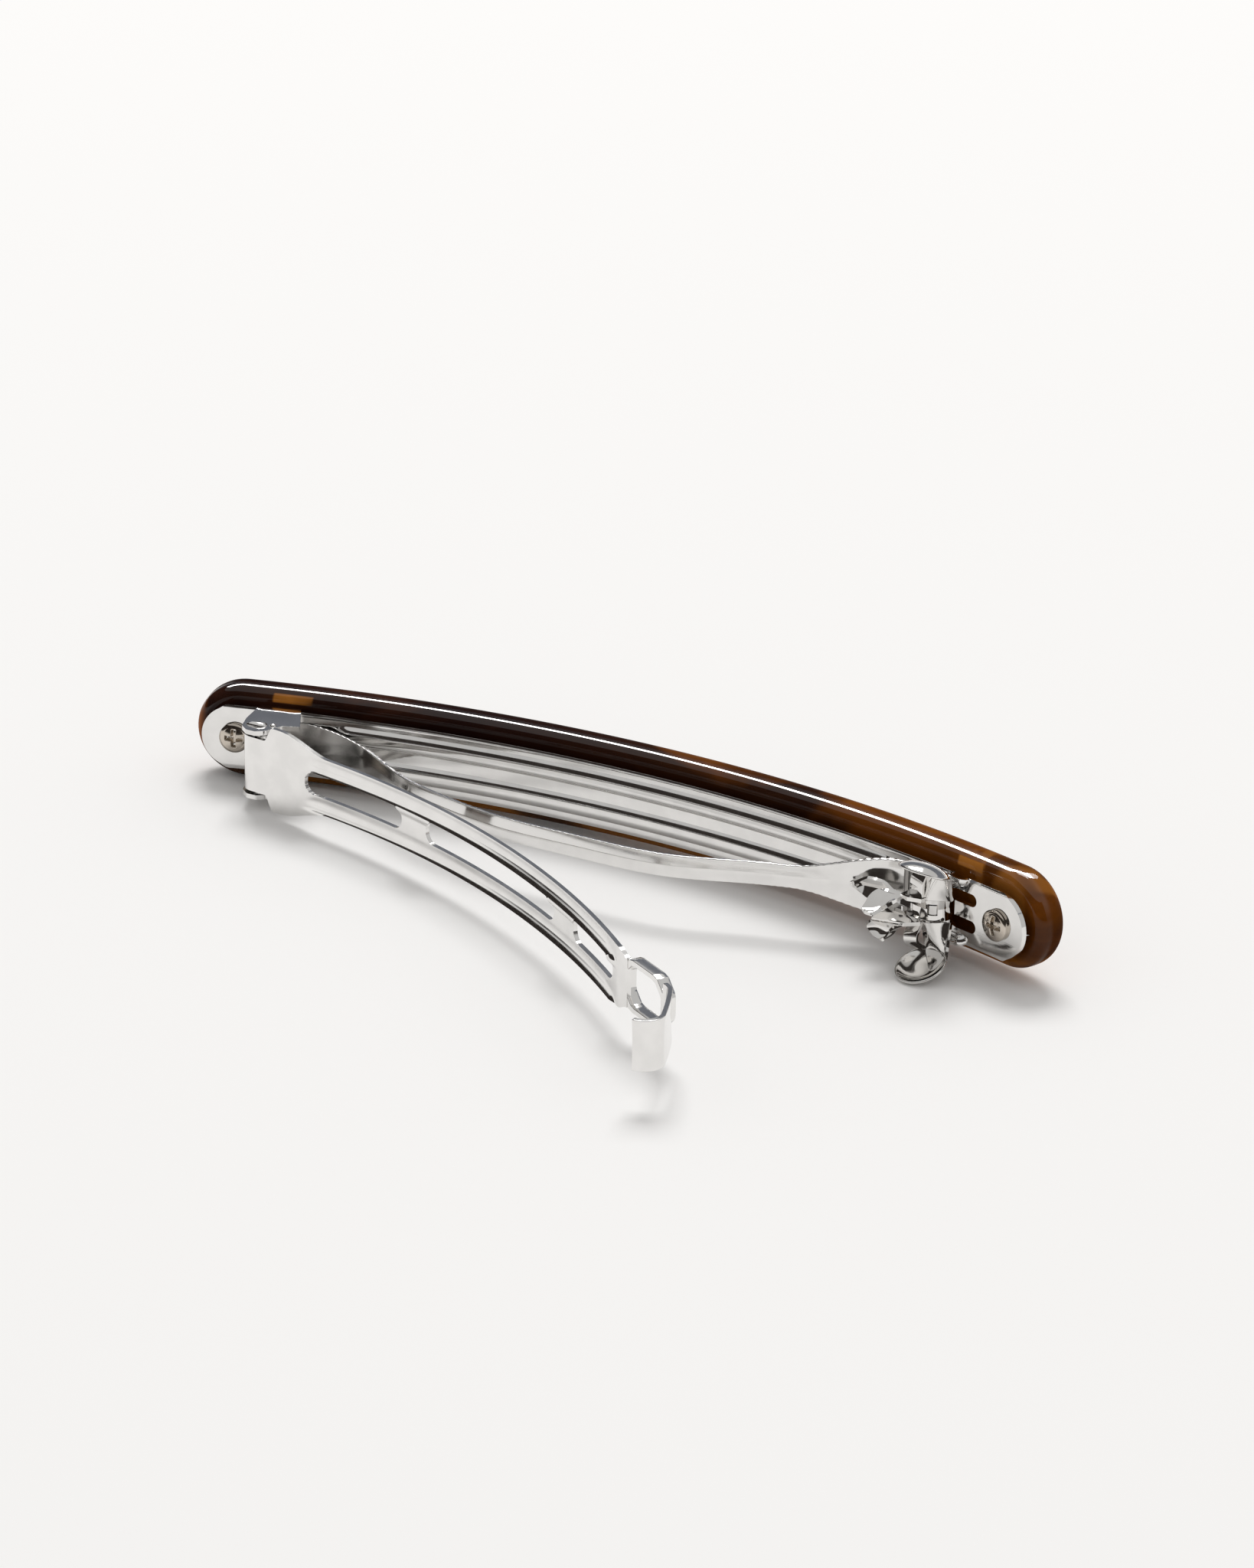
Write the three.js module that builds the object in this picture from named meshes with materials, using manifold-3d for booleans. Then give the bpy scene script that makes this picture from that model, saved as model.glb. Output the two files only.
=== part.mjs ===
import * as THREE from 'three';
import { mergeVertices } from 'three/addons/utils/BufferGeometryUtils.js';
import Module from 'manifold-3d';

// Hair barrette: a curved acetate bar with a steel snap clasp screwed to its inner side.
// All sizes are in millimetres. The bar stands on its long edge, the clasp faces -Y,
// the hinge end is at -X and the latch end at +X.
// Clasp pieces are laid out as (s, h, z): s is measured along the base plate from its middle,
// h is the height above the plate's front face, and z is across the plate from its centre line.

const wasm = await Module();
wasm.setup();

// driving dimensions
const PLATE_RADIUS = 146.2;      // radius of the base plate's front face
const GAP = 0.3;                 // clearance between touching pieces
const SHEET = 0.5;               // thickness of the clasp's sheet steel

const BAR_HALF_LENGTH = 50.4;    // measured along s
const BAR_WIDTH = 10.24;
const BAR_THICKNESS = 4.0;       // standard acetate sheet
const BAR_INNER_ROUND = 1.3;
const BAR_OUTER_ROUND = 1.9;

const PLATE_HALF_LENGTH = 49.3;
const PLATE_WIDTH = 6.76;
const PLATE_THICKNESS = 0.6;
const BEAD_HEIGHT = 0.4;
const BEAD_WIDTH = 1.4;
const BEAD_OFFSET = 1.6;

const SCREW_S = 45.7;
const SCREW_HEAD_RADIUS = 1.6;
const SCREW_HEAD_HEIGHT = 1.0;
const SCREW_SHANK_RADIUS = 0.9;
const SCREW_SHANK_DEPTH = 3.2;

const PIVOT_S = -41.2;
const PIVOT_H = 5.7;
const EAR_INNER = 3.3;           // half the distance between the ears
const PIVOT_HOLE_RADIUS = 0.85;
const PIVOT_NIB_RADIUS = 0.55;
const ROLL_RADIUS = 1.3;         // middle of the rolled sheet round the pivot

const ARM_RADIUS = 104.6;
const ARM_LENGTH = 65.6;         // from the pivot to the end of the last slot
const ARM_HEADING = -4.8;        // degrees at the pivot, arm open
const ARM_HALF_WIDTH = 3.1;
const HINGE_PLATE_HALF_WIDTH = 4.6;
const SLOT_WIDTH = 2.35;
const SLOTS = [[7.5, 21.9], [25.7, 49.7], [54.1, 64.6]];
const RING_LENGTH = 9.0;
const RING_HALF_WIDTH = 2.7;
const RING_WALL = 0.55;
const RING_DEPTH = 1.3;

const DISC_S = 39.7;
const DISC_H = 4.6;
const DISC_Z = 5.25;
const DISC_RADIUS = 2.67;
const DISC_TILT = 22;            // degrees, opening away from the plate

// ---------- helpers ----------

const toRadians = THREE.MathUtils.degToRad;

function solid(geometry) {
  const bare = geometry.clone();
  bare.deleteAttribute('normal');
  bare.deleteAttribute('uv');
  const merged = mergeVertices(bare, 1e-4);
  return new wasm.Manifold(new wasm.Mesh({
    numProp: 3,
    vertProperties: new Float32Array(merged.attributes.position.array),
    triVerts: new Uint32Array(merged.index.array),
  }));
}

function geometryOf(manifold) {
  const mesh = manifold.getMesh();
  const geometry = new THREE.BufferGeometry();
  geometry.setAttribute('position', new THREE.BufferAttribute(mesh.vertProperties, 3));
  geometry.setIndex(new THREE.BufferAttribute(mesh.triVerts, 1));
  geometry.computeVertexNormals();
  return geometry;
}

const join = (...geometries) => geometries.map(solid).reduce((a, b) => a.add(b));
const cut = (body, ...tools) => tools.map(solid).reduce((a, b) => a.subtract(b), body);

// moves every vertex of a geometry by a function that rewrites the vector it is given
function remap(geometry, place) {
  const positions = geometry.attributes.position;
  const point = new THREE.Vector3();
  for (let i = 0; i < positions.count; i += 1) {
    point.fromBufferAttribute(positions, i);
    place(point);
    positions.setXYZ(i, point.x, point.y, point.z);
  }
  return geometry;
}

// bends a flat layout onto the plate: x is s, y is -h, z stays
function wrap(geometry) {
  return remap(geometry, (p) => {
    const angle = p.x / PLATE_RADIUS;
    const radius = PLATE_RADIUS + p.y;
    p.set(radius * Math.sin(angle), radius * Math.cos(angle) - PLATE_RADIUS, p.z);
  });
}

// box given by its limits in s, h and z
function block(s, h, z, steps = 1) {
  const box = new THREE.BoxGeometry(s[1] - s[0], h[1] - h[0], z[1] - z[0], steps, 1, 1);
  return box.translate((s[0] + s[1]) / 2, -(h[0] + h[1]) / 2, (z[0] + z[1]) / 2);
}

// outline drawn in (s, z), given depth from h[0] to h[1]
function slabFromAbove(shape, h, curveSegments = 16) {
  const options = { depth: h[1] - h[0], bevelEnabled: false, curveSegments };
  return new THREE.ExtrudeGeometry(shape, options).rotateX(Math.PI / 2).translate(0, -h[0], 0);
}

// outline drawn in (s, h), given thickness from z[0] to z[1]
function slabFromSide(points, z) {
  const shape = new THREE.Shape(points.map(([s, h]) => new THREE.Vector2(s, -h)));
  const options = { depth: z[1] - z[0], bevelEnabled: false };
  return new THREE.ExtrudeGeometry(shape, options).translate(0, 0, z[0]);
}

// round peg standing on the plate at s, from h[0] to h[1]
function peg(s, h, radius, z = 0, sides = 32) {
  return new THREE.CylinderGeometry(radius, radius, h[1] - h[0], sides)
    .translate(s, -(h[0] + h[1]) / 2, z);
}

// the waste outside a half-round end of the given radius, at s = side * reach
function endWaste(side, reach, radius, h) {
  const shape = new THREE.Shape();
  const centre = reach - radius;
  shape.moveTo(centre, radius);
  shape.absarc(centre, 0, radius, Math.PI / 2, -Math.PI / 2, true);
  shape.lineTo(centre, -radius - 3);
  shape.lineTo(reach + 3, -radius - 3);
  shape.lineTo(reach + 3, radius + 3);
  shape.lineTo(centre, radius + 3);
  const waste = slabFromAbove(shape, h, 28);
  return side > 0 ? waste : waste.rotateZ(Math.PI).translate(0, -(h[0] + h[1]), 0);
}

// strip of sheet along a path: path(l) gives x, y and heading, halfWidth(l) half its width
function strip(path, halfWidth, from, to, steps, thickness = SHEET) {
  const box = new THREE.BoxGeometry(1, thickness, 2, steps, 1, 2);
  return remap(box, (p) => {
    const l = from + (p.x + 0.5) * (to - from);
    const at = path(l);
    p.set(at.x - p.y * Math.sin(at.heading), at.y + p.y * Math.cos(at.heading), p.z * halfWidth(l));
  });
}

const smooth = (x, from, to) => THREE.MathUtils.smoothstep(x, from, to);

// ---------- acetate bar ----------

function barSection() {
  const front = PLATE_THICKNESS + GAP;
  const back = front + BAR_THICKNESS;
  const half = BAR_WIDTH / 2;
  const inner = BAR_INNER_ROUND;
  const outer = BAR_OUTER_ROUND;
  const shape = new THREE.Shape();
  shape.absarc(back - outer, half - outer, outer, 0, Math.PI / 2, false);
  shape.absarc(front + inner, half - inner, inner, Math.PI / 2, Math.PI, false);
  shape.absarc(front + inner, inner - half, inner, Math.PI, 1.5 * Math.PI, false);
  shape.absarc(back - outer, outer - half, outer, 1.5 * Math.PI, 2 * Math.PI, false);
  return shape;
}

function acetateBar() {
  const options = { depth: 2 * BAR_HALF_LENGTH, steps: 72, bevelEnabled: false, curveSegments: 5 };
  const blank = new THREE.ExtrudeGeometry(barSection(), options).translate(0, 0, -BAR_HALF_LENGTH);
  remap(blank, (p) => p.set(p.z, p.x, p.y));
  const depth = [-BAR_THICKNESS - 2, 0];
  const round = BAR_WIDTH / 2;
  const screwHole = [-SCREW_SHANK_DEPTH - GAP, 0];
  return geometryOf(cut(
    solid(wrap(blank)),
    wrap(endWaste(1, BAR_HALF_LENGTH, round, depth)),
    wrap(endWaste(-1, BAR_HALF_LENGTH, round, depth)),
    wrap(peg(SCREW_S, screwHole, SCREW_SHANK_RADIUS + GAP)),
    wrap(peg(-SCREW_S, screwHole, SCREW_SHANK_RADIUS + GAP)),
  ));
}

// ---------- base plate ----------

function hingeEar(side) {
  const outline = new THREE.Shape();
  const boss = 1.9;
  outline.moveTo(-38.8, PLATE_THICKNESS);
  outline.lineTo(-36.9, -5.0);
  outline.lineTo(-39.0, -5.5);
  outline.absarc(PIVOT_S, -PIVOT_H, boss, -0.5, Math.PI + 0.5, true);
  outline.lineTo(-43.0, PLATE_THICKNESS);
  const hole = new THREE.Path();
  hole.absarc(PIVOT_S, -PIVOT_H, PIVOT_HOLE_RADIUS, 0, 2 * Math.PI, false);
  outline.holes.push(hole);
  const options = { depth: SHEET, bevelEnabled: false, curveSegments: 20 };
  const ear = new THREE.ExtrudeGeometry(outline, options);
  return ear.translate(0, 0, side > 0 ? EAR_INNER : -EAR_INNER - SHEET);
}

// two slots joined at their left by a round edge, leaving a tongue between them
function latchWindow() {
  const shape = new THREE.Shape();
  const left = 40.4;
  const right = 42.9;
  shape.moveTo(right, 1.5);
  shape.quadraticCurveTo(right, 2.1, right - 0.7, 2.1);
  shape.absarc(left, 0, 2.1, Math.PI / 2, 1.5 * Math.PI, false);
  shape.lineTo(right - 0.7, -2.1);
  shape.quadraticCurveTo(right, -2.1, right, -1.5);
  shape.lineTo(right, -0.8);
  shape.lineTo(left - 0.4, -0.6);
  shape.lineTo(left - 0.4, 0.6);
  shape.lineTo(right, 0.8);
  return shape;
}

function basePlate() {
  const half = PLATE_WIDTH / 2;
  const reach = PLATE_HALF_LENGTH;
  const through = [-PLATE_THICKNESS - 1, 1];
  const sheet = block([-reach, reach], [-PLATE_THICKNESS, 0], [-half, half], 64);
  const bead = (z) => {
    const limits = [z - BEAD_WIDTH / 2, z + BEAD_WIDTH / 2];
    return block([-33, 31], [-PLATE_THICKNESS / 2, BEAD_HEIGHT], limits, 44);
  };
  const curledEar = (side) => {
    const z = side > 0 ? [half - SHEET, half] : [-half, SHEET - half];
    return block([39.4, 41.2], [-PLATE_THICKNESS / 2, 0.9], z);
  };
  const pieces = [sheet, bead(BEAD_OFFSET), bead(-BEAD_OFFSET), hingeEar(1), hingeEar(-1),
    curledEar(1), curledEar(-1)];
  return geometryOf(cut(
    join(...pieces.map(wrap)),
    wrap(endWaste(1, reach, half, through)),
    wrap(endWaste(-1, reach, half, through)),
    wrap(slabFromAbove(latchWindow(), through)),
    wrap(peg(SCREW_S, through, SCREW_SHANK_RADIUS + GAP)),
    wrap(peg(-SCREW_S, through, SCREW_SHANK_RADIUS + GAP)),
  ));
}

// ---------- screws ----------

function screw(s) {
  const head = peg(s, [GAP, GAP + SCREW_HEAD_HEIGHT], SCREW_HEAD_RADIUS);
  const shank = peg(s, [-SCREW_SHANK_DEPTH, GAP + 0.2], SCREW_SHANK_RADIUS, 0, 20);
  const depth = [GAP + SCREW_HEAD_HEIGHT - 0.5, GAP + SCREW_HEAD_HEIGHT + 0.5];
  const recess = [0.9, 0.22];
  const along = block([s - recess[0], s + recess[0]], depth, [-recess[1], recess[1]]);
  const across = block([s - recess[1], s + recess[1]], depth, [-recess[0], recess[0]]);
  return geometryOf(cut(join(wrap(head), wrap(shank)), wrap(along), wrap(across)));
}

// ---------- tension bow ----------

function bowPath() {
  const points = [[-42, 0.6], [-37.2, 0.65], [-30.6, 2.9], [-22, 8.8], [-11, 12.5], [0, 13.05],
    [11, 12.0], [20.8, 7.4], [28, 3.9], [33.7, 0.95]];
  const curve = new THREE.SplineCurve(points.map(([s, h]) => new THREE.Vector2(s, -h)));
  return (u) => {
    const at = curve.getPoint(u);
    const ahead = curve.getTangent(u);
    return { x: at.x, y: at.y, heading: Math.atan2(ahead.y, ahead.x) };
  };
}

function tensionBow() {
  const path = bowPath();
  const halfWidth = (u) => {
    const s = path(u).x;
    return 1.18 + 1.3 * smooth(-s, 25, 38) + 1.95 * smooth(s, 23, 33.5);
  };
  return geometryOf(solid(wrap(strip(path, halfWidth, 0, 1, 72, 0.45))));
}

// ---------- clasp arm ----------

const pivotAngle = PIVOT_S / PLATE_RADIUS;
const pivot = new THREE.Vector2(
  (PLATE_RADIUS - PIVOT_H) * Math.sin(pivotAngle),
  (PLATE_RADIUS - PIVOT_H) * Math.cos(pivotAngle) - PLATE_RADIUS,
);

// the arm's centre line as arcs that follow each other: length in mm and turn in degrees
const ARM_ARCS = [
  { length: ARM_LENGTH, turn: -THREE.MathUtils.radToDeg(ARM_LENGTH / ARM_RADIUS) },
  { length: 1.0, turn: 12.0 },
  { length: RING_LENGTH - 1.0, turn: 0 },
  { length: 1.4, turn: -34 },
  { length: 5.4, turn: -6 },
  { length: 3.6, turn: -118 },
];
const RING_START = ARM_LENGTH + 1.0;
const ARM_END = ARM_ARCS.reduce((sum, arc) => sum + arc.length, 0);

function advance(at, length, turn) {
  const end = at.heading + turn;
  if (Math.abs(turn) < 1e-9) {
    return { x: at.x + length * Math.cos(end), y: at.y + length * Math.sin(end), heading: end };
  }
  const radius = length / turn;
  return {
    x: at.x + radius * (Math.sin(end) - Math.sin(at.heading)),
    y: at.y - radius * (Math.cos(end) - Math.cos(at.heading)),
    heading: end,
  };
}

function armPath(l) {
  const heading = toRadians(ARM_HEADING);
  let at = {
    x: pivot.x + ROLL_RADIUS * Math.sin(heading),
    y: pivot.y - ROLL_RADIUS * Math.cos(heading),
    heading,
  };
  if (l < 0) {
    return advance(at, l, l / ROLL_RADIUS);
  }
  let left = l;
  for (const arc of ARM_ARCS) {
    const length = Math.min(left, arc.length);
    at = advance(at, length, toRadians(arc.turn) * (length / arc.length));
    left -= length;
  }
  return at;
}

function armHalfWidth(l) {
  const shoulder = smooth(l, 1.9, 3.0) - smooth(l, 3.9, 10.8);
  const neck = smooth(l, RING_START - 0.6, RING_START + 1.2);
  const base = l < 3 ? 3.0 : ARM_HALF_WIDTH;
  return base + (HINGE_PLATE_HALF_WIDTH - base) * Math.max(shoulder, 0)
    - (ARM_HALF_WIDTH - RING_HALF_WIDTH + 0.2) * neck;
}

// cutter with rounded ends for one lengthwise slot
function slotTool([from, to]) {
  const radius = SLOT_WIDTH / 2;
  const halfWidth = (l) => {
    const inside = Math.min(l - from, to - l, radius) / radius;
    return radius * Math.sqrt(Math.max(1 - (1 - inside) ** 2, 0.04));
  };
  return strip(armPath, halfWidth, from, to, 40, 2);
}

function octagon(halfLength, halfWidth) {
  const side = halfLength * 0.62;
  const end = halfWidth * 0.45;
  return [[-halfLength, -end], [-halfLength, end], [-side, halfWidth], [side, halfWidth],
    [halfLength, end], [halfLength, -end], [side, -halfWidth], [-side, -halfWidth]].reverse();
}

// prism on the arm at the ring's middle, from depth[0] to depth[1] towards the bar
function ringPrism(points, depth) {
  const shape = new THREE.Shape(points.map(([l, z]) => new THREE.Vector2(l, z)));
  const options = { depth: depth[1] - depth[0], bevelEnabled: false };
  const prism = new THREE.ExtrudeGeometry(shape, options).translate(0, 0, -depth[1]);
  const at = armPath(RING_START + RING_LENGTH / 2 - 0.5);
  const along = new THREE.Vector3(Math.cos(at.heading), Math.sin(at.heading), 0);
  const up = new THREE.Vector3(0, 0, 1);
  const basis = new THREE.Matrix4().makeBasis(along, up, along.clone().cross(up));
  return prism.applyMatrix4(basis.setPosition(at.x, at.y, 0));
}

function claspArm() {
  const half = RING_LENGTH / 2 - 0.5;
  const flat = strip(armPath, armHalfWidth, 0, RING_START + 1.6, 64);
  const roll = strip(armPath, () => 3.0, -4.2, 0.05, 14);
  const barrel = new THREE.CylinderGeometry(1.12, 1.12, 6.0, 24).rotateX(Math.PI / 2);
  const nibs = new THREE.CylinderGeometry(PIVOT_NIB_RADIUS, PIVOT_NIB_RADIUS, 8.0, 16);
  nibs.rotateX(Math.PI / 2);
  const collar = ringPrism(octagon(half, RING_HALF_WIDTH), [-SHEET / 2, RING_DEPTH - SHEET / 2]);
  const tab = strip(armPath, () => 2.6, RING_START + RING_LENGTH - 1.6, ARM_END, 28);
  const body = join(flat, roll, barrel.translate(pivot.x, pivot.y, 0),
    nibs.translate(pivot.x, pivot.y, 0), collar, tab);
  const opening = ringPrism(octagon(half - RING_WALL * 1.3, RING_HALF_WIDTH - RING_WALL), [-3, 3]);
  return geometryOf(cut(body, opening, ...SLOTS.map(slotTool)));
}

// ---------- latch ----------

// centre tongue of the latch: rises from the plate and points back over the bow's end
function latchSaddle() {
  const points = [[40.4, 0.55], [40.3, 1.8], [39.2, 2.75], [37.4, 2.9], [34.2, 3.05], [29.4, 4.3]];
  const curve = new THREE.SplineCurve(points.map(([s, h]) => new THREE.Vector2(s, -h)));
  const path = (u) => {
    const at = curve.getPoint(u);
    const ahead = curve.getTangent(u);
    return { x: at.x, y: at.y, heading: Math.atan2(ahead.y, ahead.x) };
  };
  const halfWidth = (u) => 1.25 - 0.4 * smooth(u, 0.3, 0.42) - 0.75 * smooth(u, 0.72, 1.0);
  const tongue = strip(path, halfWidth, 0, 1, 30, 0.45);
  const foot = block([35.3, 40.6], [GAP, GAP + SHEET], [-2.5, 2.5], 4);
  return geometryOf(join(wrap(tongue), wrap(foot)));
}

function fingerDisc(side) {
  const rim = DISC_RADIUS;
  const profile = [[0, -0.62], [rim * 0.45, -0.52], [rim * 0.8, -0.2], [rim, 0.18], [rim, 0.45],
    [rim - 0.25, 0.45], [rim * 0.72, 0.12], [rim * 0.4, -0.14], [0, -0.22]];
  const dish = new THREE.LatheGeometry(profile.map(([r, y]) => new THREE.Vector2(r, y)), 40);
  dish.rotateX(side > 0 ? -Math.PI / 2 : Math.PI / 2);
  dish.rotateX(-toRadians(DISC_TILT) * side);
  return dish.translate(DISC_S, -DISC_H, side * DISC_Z);
}

function latchTab(side) {
  const z = side > 0 ? [1.25, 1.75] : [-1.75, -1.25];
  const outward = side > 0 ? [1.25, 1.98] : [-1.98, -1.25];
  const reachOut = side > 0 ? [1.25, 4.7] : [-4.7, -1.25];
  const leg = slabFromSide([[34.3, 1.1], [38.6, 1.1], [38.6, 3.95], [36.9, 3.95], [36.5, 3.3],
    [35.4, 3.3], [34.6, 3.9], [34.6, 5.8], [34.9, 6.4], [34.1, 7.2], [32.9, 6.0], [33.3, 4.2]], z);
  const barb = slabFromSide([[32.9, 6.0], [34.7, 6.0], [34.9, 6.4], [34.1, 7.2]], outward);
  const neck = block([36.9, 38.6], [3.45, 3.95], reachOut);
  return geometryOf(join(wrap(leg), wrap(barb), wrap(neck), wrap(fingerDisc(side))));
}

// ---------- assembly ----------

const finish = (color, roughness, metalness) => (
  new THREE.MeshStandardMaterial({ color, roughness, metalness })
);

const model = new THREE.Group();

function add(name, geometry, material) {
  const mesh = new THREE.Mesh(geometry, material);
  mesh.name = name;
  model.add(mesh);
}

add('acetate_bar', acetateBar(), finish(0x3a1c0c, 0.12, 0.0));
add('base_plate', basePlate(), finish(0xd8d7d4, 0.14, 1.0));
add('screw_hinge_end', screw(-SCREW_S), finish(0xb9ada0, 0.3, 1.0));
add('screw_latch_end', screw(SCREW_S), finish(0xb9ada0, 0.3, 1.0));
add('tension_bow', tensionBow(), finish(0xd2d1ce, 0.16, 1.0));
add('clasp_arm', claspArm(), finish(0xdddcd9, 0.16, 1.0));
add('latch_saddle', latchSaddle(), finish(0xcfccc7, 0.18, 1.0));
add('finger_tab_upper', latchTab(1), finish(0xd0cecb, 0.15, 1.0));
add('finger_tab_lower', latchTab(-1), finish(0xd0cecb, 0.15, 1.0));

// the origin is at the bottom centre of the whole object's box
const box = new THREE.Box3().setFromObject(model);
const centre = box.getCenter(new THREE.Vector3());
model.position.set(-centre.x, -centre.y, -box.min.z);

const part = new THREE.Group();
part.add(model);

export default part;
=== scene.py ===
# Hair barrette standing on its long edge: polished steel snap clasp, open, on a tortoiseshell bar.
import math

import bmesh
import bpy
import numpy as np
from mathutils import Matrix, Vector


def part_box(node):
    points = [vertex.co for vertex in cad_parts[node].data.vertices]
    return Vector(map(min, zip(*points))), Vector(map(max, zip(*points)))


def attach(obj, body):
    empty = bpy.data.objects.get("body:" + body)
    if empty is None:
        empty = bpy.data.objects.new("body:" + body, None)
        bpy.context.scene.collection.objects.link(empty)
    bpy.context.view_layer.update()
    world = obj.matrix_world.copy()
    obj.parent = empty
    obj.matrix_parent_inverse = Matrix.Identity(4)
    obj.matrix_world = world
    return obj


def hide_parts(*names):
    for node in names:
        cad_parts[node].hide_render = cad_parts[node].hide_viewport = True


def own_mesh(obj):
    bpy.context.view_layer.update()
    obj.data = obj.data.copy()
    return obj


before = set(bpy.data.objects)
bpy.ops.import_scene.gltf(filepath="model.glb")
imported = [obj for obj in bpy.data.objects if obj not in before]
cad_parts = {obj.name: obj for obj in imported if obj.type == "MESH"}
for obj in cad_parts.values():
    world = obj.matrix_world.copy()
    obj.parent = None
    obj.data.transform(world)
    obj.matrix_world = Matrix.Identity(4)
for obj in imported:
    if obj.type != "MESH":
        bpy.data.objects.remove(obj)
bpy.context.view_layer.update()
mm = 0.001
barLow, barHigh = [np.array(corner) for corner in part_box("acetate_bar")]
midZ = float(barLow[2] + barHigh[2]) / 2      # plane of symmetry across the width
frontY = float(barHigh[1]) - 4.9 * mm         # front face of the base plate at its middle
plateRadius = 146.2                           # mm, radius of that face
pivotS, pivotH = -41.2, 5.7                   # mm, the arm's hinge line in the layout below


# ---------- laying out ----------

def place(s, h, z):
    # the layout (s, h, z) bent onto the plate: s is arc length, h height above its front, z across
    s, h, z = np.broadcast_arrays(s, h, z)
    angle = s / plateRadius
    radius = plateRadius - h
    x = radius * np.sin(angle)
    y = radius * np.cos(angle) - plateRadius
    return np.stack([x * mm, y * mm + frontY, z * mm + midZ], axis=-1)


def flat(x, y, z):
    # the layout (x, y, z) in straight millimetres from the plate's middle
    x, y, z = np.broadcast_arrays(x, y, z)
    return np.stack([x * mm, y * mm + frontY, z * mm + midZ], axis=-1)


def smooth(x, low, high):
    t = np.clip((x - low) / (high - low), 0, 1)
    return t * t * (3 - 2 * t)


def spread(*stops):
    # uneven samples: pairs of (position, number of steps up to it), the first with 0
    parts = [np.linspace(a[0], b[0], b[1], endpoint=False) for a, b in zip(stops, stops[1:])]
    return np.concatenate(parts + [[stops[-1][0]]])


def spline(points, samples):
    # a smooth curve through points (Catmull-Rom), sampled evenly in its parameter
    p = np.array(points, float)
    p = np.vstack([2 * p[0] - p[1], p, 2 * p[-1] - p[-2]])
    u = np.linspace(0, len(points) - 1 - 1e-9, samples)
    i = u.astype(int)
    t = (u - i)[:, None]
    a, b, c, d = p[i], p[i + 1], p[i + 2], p[i + 3]
    return 0.5 * (2 * b + (c - a) * t + (2 * a - 5 * b + 4 * c - d) * t ** 2
                  + (3 * b - a - 3 * c + d) * t ** 3)


def surface(name, points, body, node, slot, material, around=False, across=False, keep=None,
            thick=0, offset=0, bevel=0, levels=0):
    # a grid of points (rows, columns, 3) as one mesh; around joins its last row to its first,
    # and across its last column to its first
    rows, columns = points.shape[:2]
    i = np.arange(rows if around else rows - 1)[:, None]
    j = np.arange(columns if across else columns - 1)[None, :]
    down, right = (i + 1) % rows, (j + 1) % columns
    quads = np.stack([i * columns + j, i * columns + right, down * columns + right,
                      down * columns + j], axis=-1).reshape(-1, 4)
    if keep is not None:
        quads = quads[keep.reshape(-1)[quads].all(axis=1)]
    mesh = bpy.data.meshes.new(name)
    mesh.from_pydata(points.reshape(-1, 3).tolist(), [], quads.tolist())
    return finishPiece(name, mesh, body, node, material, thick, offset, bevel, levels)


def finishPiece(name, mesh, body, node, material, thick=0, offset=0, bevel=0, levels=0):
    # welds the mesh, turns its faces outwards and hands it to the frame
    work = bmesh.new()
    work.from_mesh(mesh)
    bmesh.ops.remove_doubles(work, verts=work.verts, dist=2e-6)
    bmesh.ops.delete(work, geom=[v for v in work.verts if not v.link_faces], context="VERTS")
    bmesh.ops.dissolve_degenerate(work, dist=1e-6, edges=work.edges)
    bmesh.ops.recalc_face_normals(work, faces=work.faces)
    if not any(len(e.link_faces) == 1 for e in work.edges) and work.calc_volume(signed=True) < 0:
        bmesh.ops.reverse_faces(work, faces=work.faces)
    work.to_mesh(mesh)
    work.free()
    mesh.shade_smooth()
    mesh.materials.append(material)
    piece = bpy.data.objects.new(name, mesh)
    bpy.context.collection.objects.link(piece)
    if thick:
        wall = piece.modifiers.new("wall", "SOLIDIFY")
        wall.thickness = thick * mm
        wall.offset = offset
    if bevel:
        edge = piece.modifiers.new("edge", "BEVEL")
        edge.width = bevel * mm
        edge.segments = 2
        edge.limit_method = "ANGLE"
        edge.angle_limit = math.radians(50)
        edge.harden_normals = True
    if levels:
        fine = piece.modifiers.new("fine", "SUBSURF")
        fine.levels = levels
        fine.render_levels = levels
    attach(piece, body)
    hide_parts(node)
    return piece


def cutOut(a, b, depth, cell):
    # depth(a, b) is the distance inside a cut; returns moved grid coordinates and the kept points
    d = depth(a, b)
    e = 1e-3
    ga = (depth(a + e, b) - depth(a - e, b)) / (2 * e)
    gb = (depth(a, b + e) - depth(a, b - e)) / (2 * e)
    steep = ga ** 2 + gb ** 2
    near = (np.abs(d) < cell * 0.75) & (steep > 0.3)
    steep = np.maximum(steep, 0.3)
    a2 = a - np.where(near, d * ga / steep, 0)
    b2 = b - np.where(near, d * gb / steep, 0)
    return a2, b2, d < cell * 0.75


# ---------- finishes ----------

class Sock:
    # a node socket that adds Math nodes when it is used in an expression
    def __init__(self, finish, out):
        self.finish = finish
        self.out = out

    def math(self, kind, other, flip=False):
        pair = [other, self] if flip else [self, other]
        return self.finish.node("ShaderNodeMath", {"operation": kind}, {0: pair[0], 1: pair[1]})

    def __add__(self, other): return self.math("ADD", other)
    def __radd__(self, other): return self.math("ADD", other)
    def __sub__(self, other): return self.math("SUBTRACT", other)
    def __rsub__(self, other): return self.math("SUBTRACT", other, True)
    def __mul__(self, other): return self.math("MULTIPLY", other)
    def __rmul__(self, other): return self.math("MULTIPLY", other)
    def __pow__(self, other): return self.math("POWER", other)


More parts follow.
